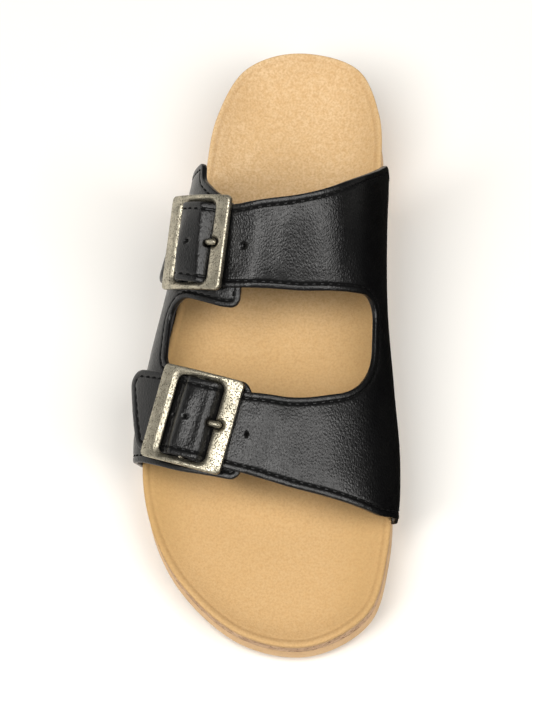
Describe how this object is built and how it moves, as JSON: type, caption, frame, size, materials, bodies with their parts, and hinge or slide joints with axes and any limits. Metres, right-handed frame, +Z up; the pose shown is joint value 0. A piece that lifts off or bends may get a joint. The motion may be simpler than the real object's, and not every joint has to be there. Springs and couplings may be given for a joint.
{
  "type": "footbed sandal",
  "caption": "Open slip-on footbed sandal for the right foot: moulded cork footbed with suede lining, flat foam outsole, black upper of broad straps closed by pewter buckles.",
  "frame": {"origin": "on the floor under the middle of the shoe's bounding box", "axes": "+Y from toe to heel, +X towards the big-toe (medial) side, +Z up"},
  "size_m": [0.112, 0.261, 0.092],
  "materials": {
    "sole_foam": "matt tan foam rubber",
    "cork": "ground and sealed cork granulate",
    "suede": "tan suede with a short nap",
    "upper_leather": "black fine-grained leather look with a satin sheen",
    "pewter": "antique pewter casting"
  },
  "bodies": {
    "root": {"outsole": "sole_foam", "footbed_cork": "cork", "footbed_lining": "suede", "upper": "upper_leather", "buckle_frame_front": "pewter", "buckle_frame_rear": "pewter", "prong_front": "pewter", "prong_rear": "pewter"}
  },
  "joints": []
}
